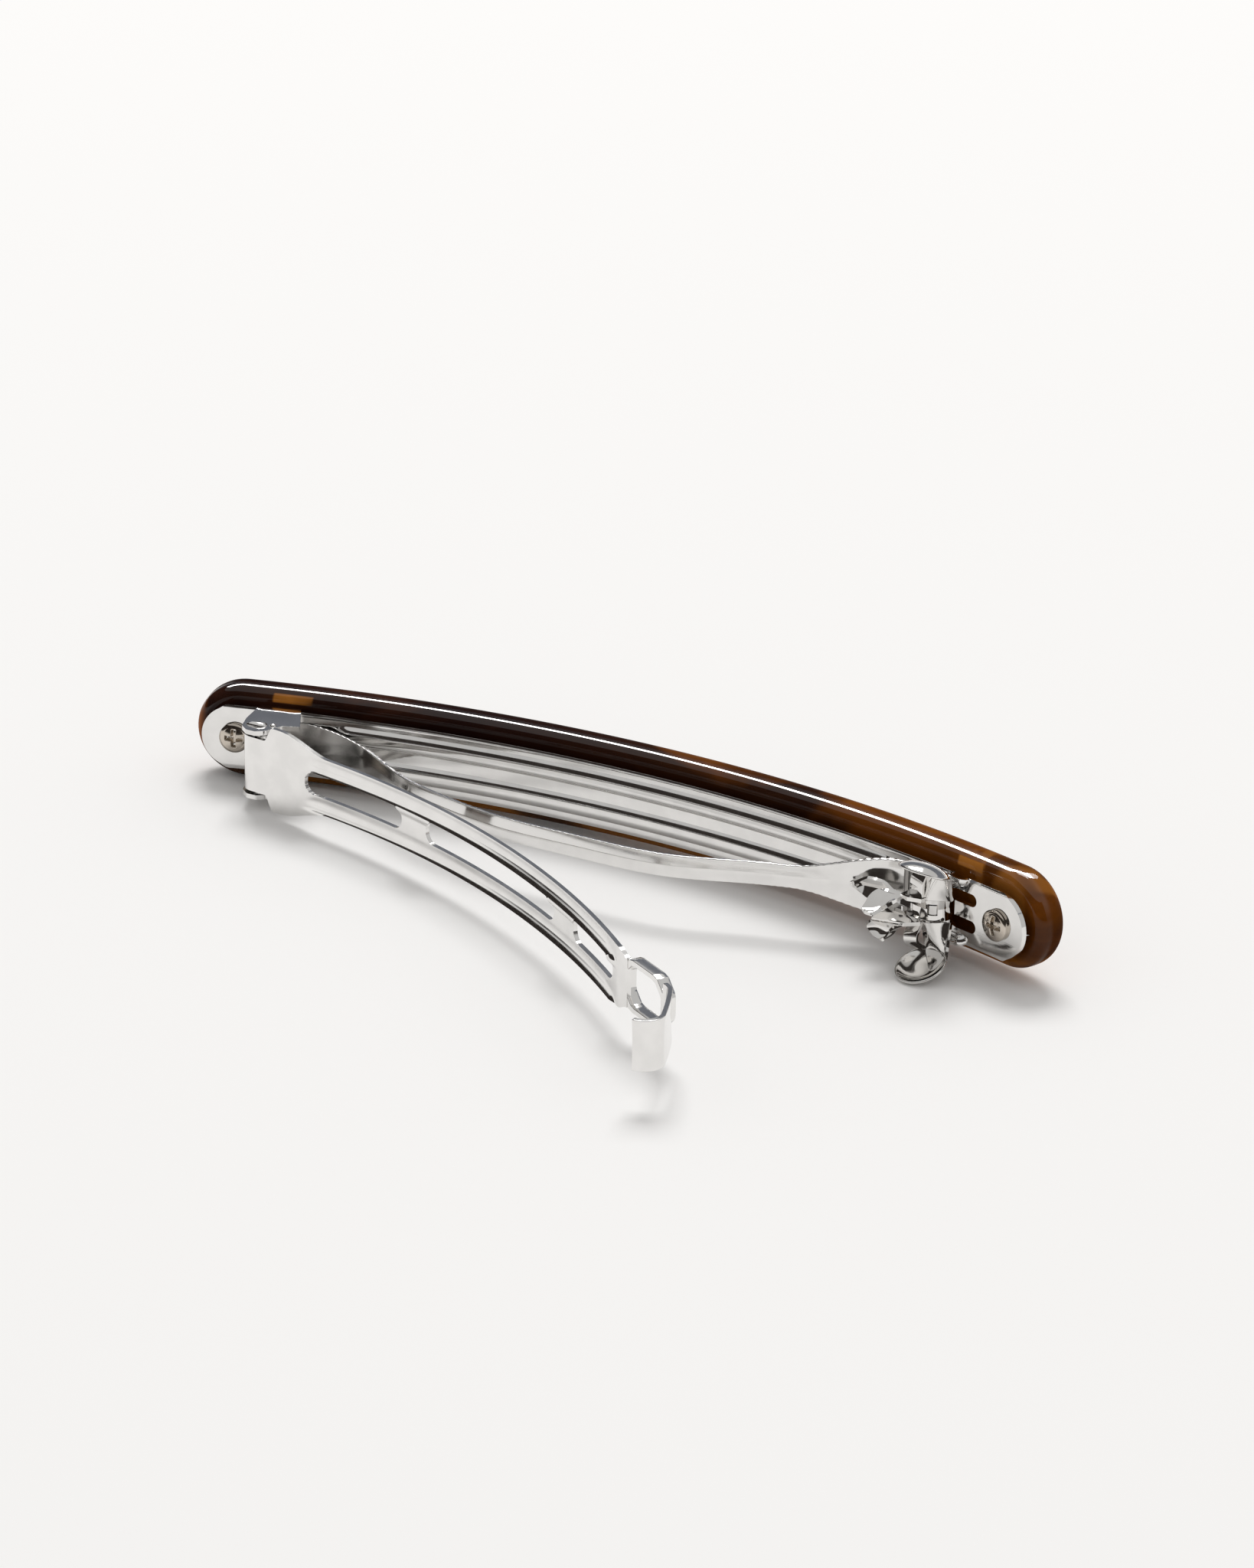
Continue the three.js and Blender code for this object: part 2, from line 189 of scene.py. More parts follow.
class Finish:
    # one material, its shader and the nodes that feed it
    def __init__(self, name, **fixed):
        self.material = bpy.data.materials.new(name)
        self.material.use_nodes = True
        self.tree = self.material.node_tree
        self.shader = self.tree.nodes["Principled BSDF"]
        for key, value in fixed.items():
            self.shader.inputs[key.replace("_", " ")].default_value = value

    def node(self, kind, settings=None, values=None, out=0):
        made = self.tree.nodes.new(kind)
        for key, value in (settings or {}).items():
            if key == "stops":
                ramp = made.color_ramp
                while len(ramp.elements) < len(value):
                    ramp.elements.new(0.5)
                for element, (at, colour) in zip(ramp.elements, value):
                    element.position = at
                    element.color = (*colour, 1)
            else:
                setattr(made, key, value)
        for key, value in (values or {}).items():
            if isinstance(value, Sock):
                self.tree.links.new(value.out, made.inputs[key])
            else:
                made.inputs[key].default_value = value
        return Sock(self, made.outputs[out])

    def position(self):
        return self.node("ShaderNodeTexCoord", out=3)

    def axis(self, index):
        return self.node("ShaderNodeSeparateXYZ", {}, {0: self.position()}, out=index)

    def scaled(self, x, y, z):
        mapping = {"Vector": self.position(), "Scale": (x, y, z)}
        return self.node("ShaderNodeMapping", {"vector_type": "POINT"}, mapping)

    def noise(self, where, scale, detail=3.0, rough=0.5, distort=0.0):
        values = {"Vector": where, "Scale": scale, "Detail": detail, "Roughness": rough,
                  "Distortion": distort}
        return self.node("ShaderNodeTexNoise", {}, values)

    def ramp(self, value, *stops):
        return self.node("ShaderNodeValToRGB", {"stops": stops}, {0: value})

    def mix(self, factor, a, b):
        return self.node("ShaderNodeMix", {"data_type": "RGBA"}, {0: factor, 6: a, 7: b}, out=2)

    def span(self, value, low, high, toLow=0.0, toHigh=1.0):
        return self.node("ShaderNodeMapRange", {"interpolation_type": "SMOOTHSTEP"},
                         {0: value, 1: low, 2: high, 3: toLow, 4: toHigh})

    def bump(self, height, strength, distance):
        values = {"Height": height, "Strength": strength, "Distance": distance}
        return self.node("ShaderNodeBump", {}, values)

    def feed(self, **sockets):
        for key, value in sockets.items():
            self.tree.links.new(value.out, self.shader.inputs[key.replace("_", " ")])
        return self.material


def nickel(name, tint, rough, scratch=0.25, wave=0.3):
    # bright plate: a faint uneven roughness, fine drawn scratches and a slightly wavy sheet
    f = Finish(name, Metallic=1.0, Base_Color=(*tint, 1))
    cloud = f.noise(f.position(), 420.0, 4.0)
    drawn = f.noise(f.scaled(260.0, 260.0, 5200.0), 1.0, 2.0)
    sheetWave = f.noise(f.position(), 230.0, 1.0)
    tone = f.mix(f.span(cloud, 0.35, 0.7), (*[c * 0.93 for c in tint], 1), (*tint, 1))
    height = drawn * scratch + sheetWave * wave
    return f.feed(Base_Color=tone, Roughness=f.span(cloud, 0.3, 0.75, rough * 0.7, rough * 1.35),
                  Normal=f.bump(height, 0.12, 0.00006))


def tortoiseshell():
    # polished acetate: amber ground, brown clouds drawn out along the bar, near-black blotches
    f = Finish("tortoiseshell_acetate", Specular_IOR_Level=0.0, Coat_Roughness=0.025, Coat_IOR=1.5)
    along, up = f.axis(0), f.axis(2)
    deep = f.axis(1) - (frontY - plateRadius * mm)
    height = plateRadius * mm - (along * along + deep * deep) ** 0.5
    cloud = f.noise(f.scaled(60.0, 110.0, 150.0), 1.0, 4.0, 0.55, 0.6)
    blotch = f.noise(f.scaled(34.0, 70.0, 90.0), 1.0, 3.0, 0.5, 0.9)
    streak = f.noise(f.scaled(40.0, 300.0, 700.0), 1.0, 3.0, 0.6, 0.3)
    amber = f.ramp(cloud, (0.25, (0.030, 0.007, 0.002)), (0.42, (0.090, 0.026, 0.003)),
                   (0.58, (0.135, 0.038, 0.004)), (0.75, (0.26, 0.085, 0.009)))
    dark = f.ramp(cloud, (0.3, (0.014, 0.005, 0.003)), (0.52, (0.034, 0.011, 0.006)),
                  (0.72, (0.085, 0.027, 0.010)))
    side = f.span(along + (blotch - 0.5) * 0.045, -0.016, 0.020)
    ground = f.mix(side, dark, amber)
    # painted glow: towards its lower edge the bar is mixed into a brighter amber
    painted_glow_below = f.span(up, midZ - 2.4 * mm, midZ - 5.0 * mm) * (0.35 + cloud * 0.9)
    ground = f.mix(painted_glow_below, ground, (0.24, 0.085, 0.008, 1))
    for low, high in ((-0.0418, -0.0374), (0.0385, 0.0419)):
        # light thrown into the acetate by the polished ear or latch beside it
        inside = f.span(along, low, low + 0.0003) * f.span(along, high, high - 0.0003)
        inside = inside * f.span(up, midZ + 3.7 * mm, midZ + 3.9 * mm)
        inside = inside * f.span(up, midZ + 4.75 * mm, midZ + 4.6 * mm)
        inside = inside * f.span(height, -1.5 * mm, -1.2 * mm)
        ground = f.mix(inside * (0.6 + cloud * 0.8), ground, (0.40, 0.15, 0.025, 1))
    spots = f.span(blotch, 0.49, 0.58) * 0.85
    shell = f.mix(spots, ground, (0.012, 0.004, 0.003, 1))
    shell = f.mix(f.span(streak, 0.55, 0.75) * 0.35, shell, (0.05, 0.018, 0.006, 1))
    swirl = f.noise(f.scaled(150.0, 120.0, 55.0), 1.0, 2.0, 0.5, 1.2)
    shell = f.mix(f.span(swirl, 0.56, 0.66) * f.span(along, 0.036, 0.044) * 0.7, shell,
                  (0.30, 0.11, 0.018, 1))
    shell = f.mix(f.span(swirl, 0.46, 0.36) * f.span(along, 0.034, 0.046) * 0.85, shell,
                  (0.020, 0.006, 0.004, 1))
    # painted glow: the rim of the left end is mixed into a lighter amber
    rim = f.span(along, -0.0484, -0.0500) * (0.55 + cloud * 0.6)
    shell = f.mix(rim, shell, (0.30, 0.085, 0.010, 1))
    return f.feed(Base_Color=shell, Roughness=f.span(cloud, 0.3, 0.7, 0.10, 0.16),
                  Coat_Weight=f.span(height, -2.7 * mm, -2.1 * mm, 0.12, 1.0)
                  * f.span(height, -1.02 * mm, -0.92 * mm, 1.0, 0.3)
                  * f.span(up, midZ + 1.5 * mm, midZ + 3.0 * mm, 0.3, 1.0)
                  + f.span(height, -4.3 * mm, -4.7 * mm, 0.0, 0.8))


finishes = {
    "shell": tortoiseshell(),
    "plate": nickel("plate_nickel", (0.80, 0.79, 0.775), 0.10),
    "bow": nickel("bow_nickel", (0.80, 0.79, 0.775), 0.13),
    "arm": nickel("arm_nickel", (0.84, 0.83, 0.815), 0.12),
    "latch": nickel("latch_nickel", (0.79, 0.775, 0.755), 0.07, 0.15, 0.6),
    "screw": nickel("screw_nickel", (0.60, 0.54, 0.47), 0.14, 0.1, 0.4),
}
print("finishes made")


# ---------- acetate bar ----------

bar = {"half": 50.4, "round": 5.12, "front": -0.9, "back": -4.9, "innerRound": 1.3,
       "outerRound": 1.9}


def barPiece():
    # a stadium outline drawn in by d while the depth follows the rounded edge: at d = its end
    # radius both faces close on the middle line
    reach = bar["half"] - bar["round"]
    turn = np.linspace(-math.pi / 2, math.pi / 2, 40)
    straight = np.linspace(-reach, reach, 150)[1:-1]
    centre = np.concatenate([np.full(turn.size, reach), straight[::-1],
                             np.full(turn.size, -reach), straight])
    angle = np.concatenate([turn, np.full(straight.size, math.pi / 2), turn + math.pi,
                            np.full(straight.size, -math.pi / 2)])
    a = np.linspace(0, math.pi / 2, 12)
    inner, outer = bar["innerRound"], bar["outerRound"]
    frontFace = np.linspace(bar["round"], inner, 12)[:-1]
    backFace = np.linspace(outer, bar["round"], 12)[1:]
    d = np.concatenate([frontFace, inner - inner * np.sin(a), outer - outer * np.cos(a), backFace])
    h = np.concatenate([np.full(frontFace.size, bar["front"]),
                        bar["front"] - inner * (1 - np.cos(a)),
                        bar["back"] + outer * (1 - np.sin(a)),
                        np.full(backFace.size, bar["back"])])
    out = bar["round"] - d
    s = centre[:, None] + out[None, :] * np.cos(angle)[:, None]
    z = out[None, :] * np.sin(angle)[:, None]
    return surface("bar_shell", place(s, h[None, :], z), "bar_body", "acetate_bar",
                   "tortoiseshell", finishes["shell"], around=True)


barShell = barPiece()
print("bar made")


# ---------- base plate ----------

plate = {"half": 49.3, "width": 3.38, "thick": 0.55, "bead": 0.45, "beadAt": 1.62,
         "beadHalf": 0.95, "beadFrom": -34.0, "beadTo": 31.5, "curl": 0.85}
window = {"from": 38.4, "to": 42.9, "half": 2.05, "roundAt": 40.4, "tongueFrom": 40.0,
          "tongueHalf": 0.75, "armEnd": 42.25, "armAt": 1.4, "armRound": 0.65}
ear = {"at": 3.55, "lean": 0.22, "hole": 0.8, "thick": 0.5}


def windowDepth(s, z):
    # how far a point is inside the latch window: a rounded C cut left round a square tongue
    half = window["half"]
    box = np.minimum(np.minimum(s - window["from"], window["to"] - s), half - np.abs(z))
    corner = half - np.hypot(np.minimum(s - window["roundAt"], 0), z)
    inside = np.minimum(box, corner)
    tongue = np.minimum(s - window["tongueFrom"], window["tongueHalf"] - np.abs(z))
    past = s - window["armEnd"]
    ends = window["armRound"] - np.hypot(np.maximum(past, 0), np.abs(z) - window["armAt"])
    inside = np.where(past > 0, np.minimum(inside, ends), inside)
    return np.minimum(inside, -tongue)


def platePiece():
    # sheet with half-round ends; two raised beads whose section is a cosine, fading at their ends,
    # and edges that curl up beside the window
    end = plate["half"] - plate["width"]
    cap = np.sin(np.linspace(0, math.pi / 2, 20))
    s = np.concatenate([-end - plate["width"] * cap[::-1], spread((-end, 0), (38.2, 250),
                        (43.2, 62), (end, 12))[1:-1], end + plate["width"] * cap])
    t = np.linspace(-1, 1, 85)
    over = np.maximum(np.abs(s) - end, 0)
    half = np.sqrt(np.maximum(plate["width"] ** 2 - over ** 2, 1e-6))
    s2 = np.repeat(s[:, None], t.size, axis=1)
    z2 = half[:, None] * t[None, :]
    s2, z2, keep = cutOut(s2, z2, windowDepth, 0.09)
    bead = np.clip(1 - np.abs(np.abs(z2) - plate["beadAt"]) / plate["beadHalf"], 0, 1)
    bead = plate["bead"] * (0.5 - 0.5 * np.cos(math.pi * np.minimum(bead * 1.25, 1)))
    bead = bead * smooth(s2, plate["beadFrom"] - 1, plate["beadFrom"] + 1)
    bead = bead * (1 - smooth(s2, plate["beadTo"] - 1, plate["beadTo"] + 1))
    curl = plate["curl"] * smooth(np.abs(z2), 2.75, 3.3)
    curl = curl * smooth(s2, 39.3, 39.7) * (1 - smooth(s2, 41.0, 41.4))
    h = bead + curl - 0.08 * smooth(np.abs(z2), 3.15, plate["width"])
    surface("plate_sheet", place(s2, h, z2), "bar_body", "base_plate", "plate_steel",
            finishes["plate"], keep=keep, thick=plate["thick"], offset=-1, bevel=0.08)


def earPiece(name, side):
    # flat cheek with a pin hole: rings drawn out from the hole to the cheek's outline; it leans
    # in a little towards its top
    outline = np.array([(-42.9, -0.3), (-43.2, 4.2), (-43.0, 6.3), (-42.2, 7.3), (-41.1, 7.6),
                        (-40.1, 7.2), (-39.4, 6.2), (-38.8, 5.35), (-36.9, 5.0), (-38.7, -0.3)])
    loop = np.vstack([outline, outline[:1]])
    run = np.concatenate([[0], np.cumsum(np.hypot(*np.diff(loop, axis=0).T))])
    along = np.linspace(0, run[-1], 121)[:-1]
    rim = np.stack([np.interp(along, run, loop[:, k]) for k in (0, 1)], axis=1)
    pivot = np.array([pivotS, pivotH])
    away = np.arctan2(rim[:, 1] - pivot[1], rim[:, 0] - pivot[0])
    hole = pivot + ear["hole"] * np.stack([np.cos(away), np.sin(away)], axis=1)
    step = np.linspace(0, 1, 9)[:, None, None]
    sh = hole[None] * (1 - step) + rim[None] * step
    z = np.full(sh.shape[:2], side * ear["at"])
    z = z - side * ear["lean"] * smooth(-sh[..., 1], -1.2, 0.3)
    surface(name, place(sh[..., 0], sh[..., 1], z), "bar_body", "base_plate", "plate_steel",
            finishes["plate"], across=True, thick=ear["thick"], bevel=0.08)


platePiece()
earPiece("hinge_ear_upper", 1)
earPiece("hinge_ear_lower", -1)
print("plate made")


# ---------- screws ----------

screw = {"at": 45.7, "shank": 0.9, "crown": 1.3, "edge": 0.3, "seat": 0.3, "side": 0.62,
         "dome": 0.36, "recess": 0.62}


def screwPiece(name, node, s):
    # a turned profile, its crown pressed in by a cross whose arms are soft-edged strips
    a = np.linspace(0, math.pi / 2, 7)
    crown, seat, shank = screw["crown"], screw["seat"], screw["shank"]
    inward = np.linspace(crown, 0, 22)[1:]
    shankR, shankH = [0, 0.5, 0.8, shank, shank, crown], [-3.2, -3.1, -2.9, -2.6, seat, seat]
    r = np.concatenate([shankR, crown + screw["edge"] * np.sin(a), inward])
    h = np.concatenate([shankH, seat + screw["side"] * (1 - np.cos(a)),
                        seat + screw["side"] + screw["dome"] * (1 - (inward / crown) ** 2)])
    angle = np.linspace(0, 2 * math.pi, 97)[:-1]
    x = r[:, None] * np.cos(angle)[None]
    z = r[:, None] * np.sin(angle)[None]
    arm = np.maximum((1 - smooth(np.abs(x), 0.16, 0.27)) * (1 - smooth(np.abs(z), 0.85, 1.02)),
                     (1 - smooth(np.abs(z), 0.16, 0.27)) * (1 - smooth(np.abs(x), 0.85, 1.02)))
    top = (np.arange(r.size) >= len(shankR) + a.size)[:, None]
    deep = screw["recess"] * arm * top
    surface(name, place(s + x, h[:, None] - deep, z), "bar_body", node, "screw_steel",
            finishes["screw"], across=True)


screwPiece("screw_left", "screw_hinge_end", -screw["at"])
screwPiece("screw_right", "screw_latch_end", screw["at"])
print("screws made")


# ---------- tension bow ----------

bow = {"path": [(-42, 0.6), (-37.2, 0.65), (-30.6, 2.9), (-22, 8.8), (-11, 12.5), (0, 13.05),
                (11, 12.0), (20.8, 7.4), (28, 3.9), (33.7, 0.95)], "thick": 0.42}


def bowPiece():
    # a strip along the arched path, wider at both ends; its middle is creased outwards into a
    # soft ridge and its edges waver slightly
    path = spline(bow["path"], 260)
    s, h = path[:, 0], path[:, 1]
    ds, dh = np.gradient(s), np.gradient(h)
    size = np.hypot(ds, dh)
    ns, nh = -dh / size, ds / size
    half = 1.2 + 1.25 * smooth(-s, 25, 38) + 1.9 * smooth(s, 23, 33)
    t = np.linspace(-1, 1, 21)
    z = half[:, None] * t[None]
    ridge = 0.16 * (1 - np.abs(t)) ** 1.5
    ridge = ridge[None] * (smooth(s, -30, -22) * (1 - smooth(s, 26, 31)))[:, None]
    wave = 0.03 * np.sin(s * 9.0)[:, None] * smooth(np.abs(t), 0.8, 1.0)[None]
    piece = surface("tension_strip", place(s[:, None] + ns[:, None] * ridge,
                                           h[:, None] + nh[:, None] * ridge, z + wave),
                    "bar_body", "tension_bow", "bow_steel", finishes["bow"],
                    thick=bow["thick"], bevel=0.1)
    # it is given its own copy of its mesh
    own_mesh(piece)


bowPiece()
print("bow made")


# ---------- clasp arm ----------

armRadius, armLength, ringLength = 104.6, 65.6, 9.0
rollRadius, rollHalf, hingeHalf, railHalf, tabHalf = 1.3, 3.0, 4.6, 3.1, 2.6
pivotAngle = pivotS / plateRadius
pivotX = (plateRadius - pivotH) * math.sin(pivotAngle)
pivotY = (plateRadius - pivotH) * math.cos(pivotAngle) - plateRadius
arcs = [(armLength, -math.degrees(armLength / armRadius)), (1.0, 12.0), (ringLength - 1.0, 0.0),
        (1.4, -34.0), (5.4, -6.0), (3.6, -118.0)]
ringStart = armLength + 1.0
armEnd = sum(length for length, turn in arcs)
slots = [(7.5, 21.9), (25.7, 49.7), (54.1, 64.6)]
slotHalf = 1.18


def armPath(l):
    # centre line as arcs that follow each other; before 0 it rolls round the pivot
    l = np.asarray(l, float)
    heading = math.radians(-4.8)
    x = pivotX + rollRadius * math.sin(heading)
    y = pivotY - rollRadius * math.cos(heading)
    rolled = heading + l / rollRadius
    px = x + rollRadius * (np.sin(rolled) - math.sin(heading))
    py = y - rollRadius * (np.cos(rolled) - math.cos(heading))
    pa = rolled
    begin = 0.0
    for length, turn in arcs:
        part = np.clip(l - begin, 0, length)
        bend = math.radians(turn)
        here = heading + bend * part / length
        if abs(bend) < 1e-9:
            qx, qy = x + part * math.cos(heading), y + part * math.sin(heading)
        else:
            radius = length / bend
            qx = x + radius * (np.sin(here) - math.sin(heading))
            qy = y - radius * (np.cos(here) - math.cos(heading))
        inside = l > begin
        px = np.where(inside, qx, px)
        py = np.where(inside, qy, py)
        pa = np.where(inside, here, pa)
        end = heading + bend
        if abs(bend) < 1e-9:
            x, y = x + length * math.cos(heading), y + length * math.sin(heading)
        else:
            x = x + length / bend * (math.sin(end) - math.sin(heading))
            y = y - length / bend * (math.cos(end) - math.cos(heading))
        heading = end
        begin += length
    return px, py, pa


def armHalf(l):
    # half width: wide at the hinge plate, then the rails, then the neck before the ring
    shoulder = np.maximum(smooth(l, 1.9, 3.0) - smooth(l, 3.9, 10.8), 0)
    base = np.where(l < 3, rollHalf, railHalf)
    neck = smooth(l, ringStart - 0.6, ringStart + 1.2)
    return base + (hingeHalf - base) * shoulder - 0.6 * neck


def slotDepth(l, z):
    # distance inside the nearest slot, each a strip with half-round ends
    deepest = np.full(np.shape(l), -9.0)
    for start, stop in slots:
        beyond = np.maximum(np.maximum(start + slotHalf - l, l - stop + slotHalf), 0)
        deepest = np.maximum(deepest, slotHalf - np.hypot(beyond, z))
    return deepest


def armStrip(name, start, stop, rows, columns, half, lift, cut=None, cell=0.1, **wall):
    # a strip along the arm: lift moves it out of the sheet's plane, away from the bar
    l = np.repeat(np.linspace(start, stop, rows)[:, None], columns, axis=1)
    z = half(l) * np.linspace(-1, 1, columns)[None]
    keep = None
    if cut:
        l, z, keep = cutOut(l, z, cut, cell)
    x, y, heading = armPath(l)
    up = lift(l, z)
    surface(name, flat(x + up * np.sin(heading), y - up * np.cos(heading), z), "arm_body",
            "clasp_arm", "arm_steel", finishes["arm"], keep=keep, **wall)


def armRelief(l, z):
    # each rail's lower edge is turned up towards the hair, a parabola that widens to the ring;
    # a faint trough runs along the rest
    low = np.where(z > 0, z - slotHalf, z + railHalf)
    grow = smooth(l, 6.5, 9.0) * (0.25 + 0.75 * smooth(l, 9.0, 54.0))
    grow = grow * (1 - smooth(l, 64.4, 65.8))
    band = 0.25 + 0.75 * grow
    lip = 0.42 * grow * np.clip(1 - low / band, 0, 1) ** 2 * smooth(np.abs(z), 0.5, slotHalf)
    trough = smooth(l - 1.2 * ((np.abs(z) - 2.2) / 0.9) ** 2, 7.2, 9.0)
    trough = trough * (1 - smooth(l, 62.0, 65.0))
    return 0.08 + lip - 0.1 * trough * np.clip(1 - ((low - 1.2) / 0.6) ** 2, 0, 1)


armStrip("arm_strip", -4.2, ringStart + 1.2, 560, 61, armHalf, armRelief, slotDepth, 0.11,
         thick=0.45, bevel=0.09)
armStrip("finger_tab", ringStart + ringLength - 1.3, armEnd, 110, 31,
         lambda l: np.full(np.shape(l), tabHalf), lambda l, z: 0.12 * (1 - (z / tabHalf) ** 2),
         thick=0.5, bevel=0.12)


def pinPiece(name, radius, length, edge=0.1):
    # a short pin on the pivot line, its ends rounded
    a = np.linspace(0, math.pi / 2, 6)
    face = radius - edge
    r = np.concatenate([[0], face + edge * np.sin(a), face + edge * np.cos(a), [0]])
    z = np.concatenate([[-length], -length + edge * (1 - np.cos(a)),
                        length - edge * (1 - np.sin(a)), [length]])
    angle = np.linspace(0, 2 * math.pi, 49)[:-1]
    x = pivotX + r[:, None] * np.cos(angle)[None]
    y = pivotY + r[:, None] * np.sin(angle)[None]
    surface(name, flat(x, y, z[:, None]), "arm_body", "clasp_arm", "arm_steel", finishes["arm"],
            across=True)


pinPiece("arm_barrel", 1.12, 2.95)
pinPiece("pivot_nibs", 0.55, 4.0, 0.2)


def nibDome(name, side, at, size, lift):
    # a pressed dome on the cheek: an ellipse drawn up to a rounded top, and pointed at one end
    long, tall, point = size
    a = np.linspace(0, 2 * math.pi, 49)[:-1][None]
    r = np.sin(np.linspace(0, math.pi / 2, 10))[:, None]
    s = at[0] + r * long * np.cos(a) * (1 - point * np.minimum(np.cos(a), 0))
    h = at[1] + r * tall * np.sin(a) * (1 - 0.35 * point * (1 - np.cos(a)))
    z = side * (3.74 + lift * np.sqrt(1 - r ** 2)) + 0 * a
    surface(name, place(s, h, z), "arm_body", "clasp_arm", "arm_steel", finishes["arm"],
            across=True)


for word, side in (("upper", 1), ("lower", -1)):
    nibDome("nib_almond_" + word, side, (-41.3, 5.8), (0.95, 0.6, 0.5), 0.42)
    nibDome("nib_dot_" + word, side, (-39.75, 5.55), (0.38, 0.36, 0.0), 0.3)


def octagon(halfLength, halfWidth, count):
    # a rounded eight-sided loop, sampled evenly
    side, end = halfLength * 0.62, halfWidth * 0.45
    corners = np.array([(-halfLength, -end), (-side, -halfWidth), (side, -halfWidth),
                        (halfLength, -end), (halfLength, end), (side, halfWidth),
                        (-side, halfWidth), (-halfLength, end)])
    near = corners * 0.88 + np.roll(corners, 1, axis=0) * 0.12
    far = corners * 0.88 + np.roll(corners, -1, axis=0) * 0.12
    loop = np.stack([near, far], axis=1).reshape(-1, 2)
    loop = np.vstack([loop, loop[:1]])
    run = np.concatenate([[0], np.cumsum(np.hypot(*np.diff(loop, axis=0).T))])
    along = np.linspace(0, run[-1], count + 1)[:-1]
    return np.stack([np.interp(along, run, loop[:, k]) for k in (0, 1)], axis=1)


def ringPiece():
    # the loop between an outer and an inner octagon, carried round a rounded wall section
    outer, inner = octagon(4.0, 2.7, 192), octagon(3.285, 2.15, 192)
    w = np.array([0.0, 0.06, 0.94, 1.0, 1.0, 0.94, 0.06, 0.0])
    deep = np.array([-0.19, -0.25, -0.25, -0.19, 0.99, 1.05, 1.05, 0.99])
    lz = outer[:, None] * (1 - w[None, :, None]) + inner[:, None] * w[None, :, None]
    x0, y0, heading = [float(v) for v in armPath(ringStart + ringLength / 2 - 0.5)]
    x = x0 + lz[..., 0] * math.cos(heading) - deep[None] * math.sin(heading)
    y = y0 + lz[..., 0] * math.sin(heading) + deep[None] * math.cos(heading)
    surface("latch_ring", flat(x, y, lz[..., 1]), "arm_body", "clasp_arm", "arm_steel",
            finishes["arm"], around=True, across=True, bevel=0.04)


ringPiece()
print("arm made")


# ---------- latch ----------

def saddleStrip(name, path, half, samples, thick, columns=17, lift=None, cut=None, aside=None):
    # a strip of sheet along a path in (s, h), half(u) wide to each side; lift raises it out of its
    # plane and aside moves it across
    p = spline(path, samples)
    u = np.linspace(0, 1, samples)
    run = np.concatenate([[0], np.cumsum(np.hypot(*np.diff(p, axis=0).T))])
    l = np.repeat(run[:, None], columns, axis=1)
    z = half(u)[:, None] * np.linspace(-1, 1, columns)[None]
    keep = None
    if cut:
        l, z, keep = cutOut(l, z, cut, 0.07)
    s, h, u = np.interp(l, run, p[:, 0]), np.interp(l, run, p[:, 1]), np.interp(l, run, u)
    if lift:
        ds, dh = np.gradient(p[:, 0], run), np.gradient(p[:, 1], run)
        up = lift(u, np.clip(z / half(u), -1, 1))
        s, h = s - np.interp(l, run, dh) * up, h + np.interp(l, run, ds) * up
    if aside:
        z = z + aside(u)
    surface(name, place(s, h, z), "bar_body", "latch_saddle", "latch_steel", finishes["latch"],
            keep=keep, thick=thick, bevel=0.08)


def saddleHole(l, z):
    # distance inside the square hole pierced in the saddle's hump
    return np.minimum(0.5 - np.abs(l - 2.3), 0.6 - np.abs(z))


def legCut(line, hole):
    # how far a point is outside a leg's straight-edged outline, or inside its slanted hole
    line = np.array(line)

    def depth(s, h):
        outside = np.full(np.shape(s), -9.0)
        for (s0, h0), (s1, h1) in zip(line, np.roll(line, -1, axis=0)):
            size = math.hypot(s1 - s0, h1 - h0)
            outside = np.maximum(outside, ((h1 - h0) * (s - s0) - (s1 - s0) * (h - h0)) / size)
        if not hole:
            return outside
        p = (s - hole[0] + h - hole[1]) / math.sqrt(2)
        q = (s - hole[0] - h + hole[1]) / math.sqrt(2)
        return np.maximum(outside, np.minimum(hole[2] - np.abs(p), hole[3] - np.abs(q)))
    return depth


disc = {"s": 39.9, "h": 4.85, "z": 5.24, "tilt": math.radians(22),
        "profile": [(0, -0.60), (0.6, -0.58), (1.2, -0.5), (1.8, -0.33), (2.25, -0.1),
                    (2.55, 0.12), (2.67, 0.25), (2.67, 0.38), (2.6, 0.45), (2.5, 0.45),
                    (2.42, 0.38), (2.1, 0.15), (1.7, -0.04), (1.2, -0.17), (0.6, -0.22),
                    (0, -0.24)]}


def discPiece(name, side, body, node):
    # a dish turned from its profile, its hollow facing the other disc, tipped away from the plate
    r, y = np.array(disc["profile"]).T
    angle = np.linspace(0, 2 * math.pi, 73)[:-1]
    ds = r[:, None] * np.cos(angle)[None]
    dv = r[:, None] * np.sin(angle)[None]
    tilt = disc["tilt"]
    out = -y[:, None] * np.ones_like(ds)
    dh = dv * math.cos(tilt) - out * math.sin(tilt)
    dz = dv * math.sin(tilt) + out * math.cos(tilt)
    surface(name, place(disc["s"] + ds, disc["h"] + dh, side * (disc["z"] + dz)), body, node,
            "latch_steel", finishes["latch"], across=True, levels=1)


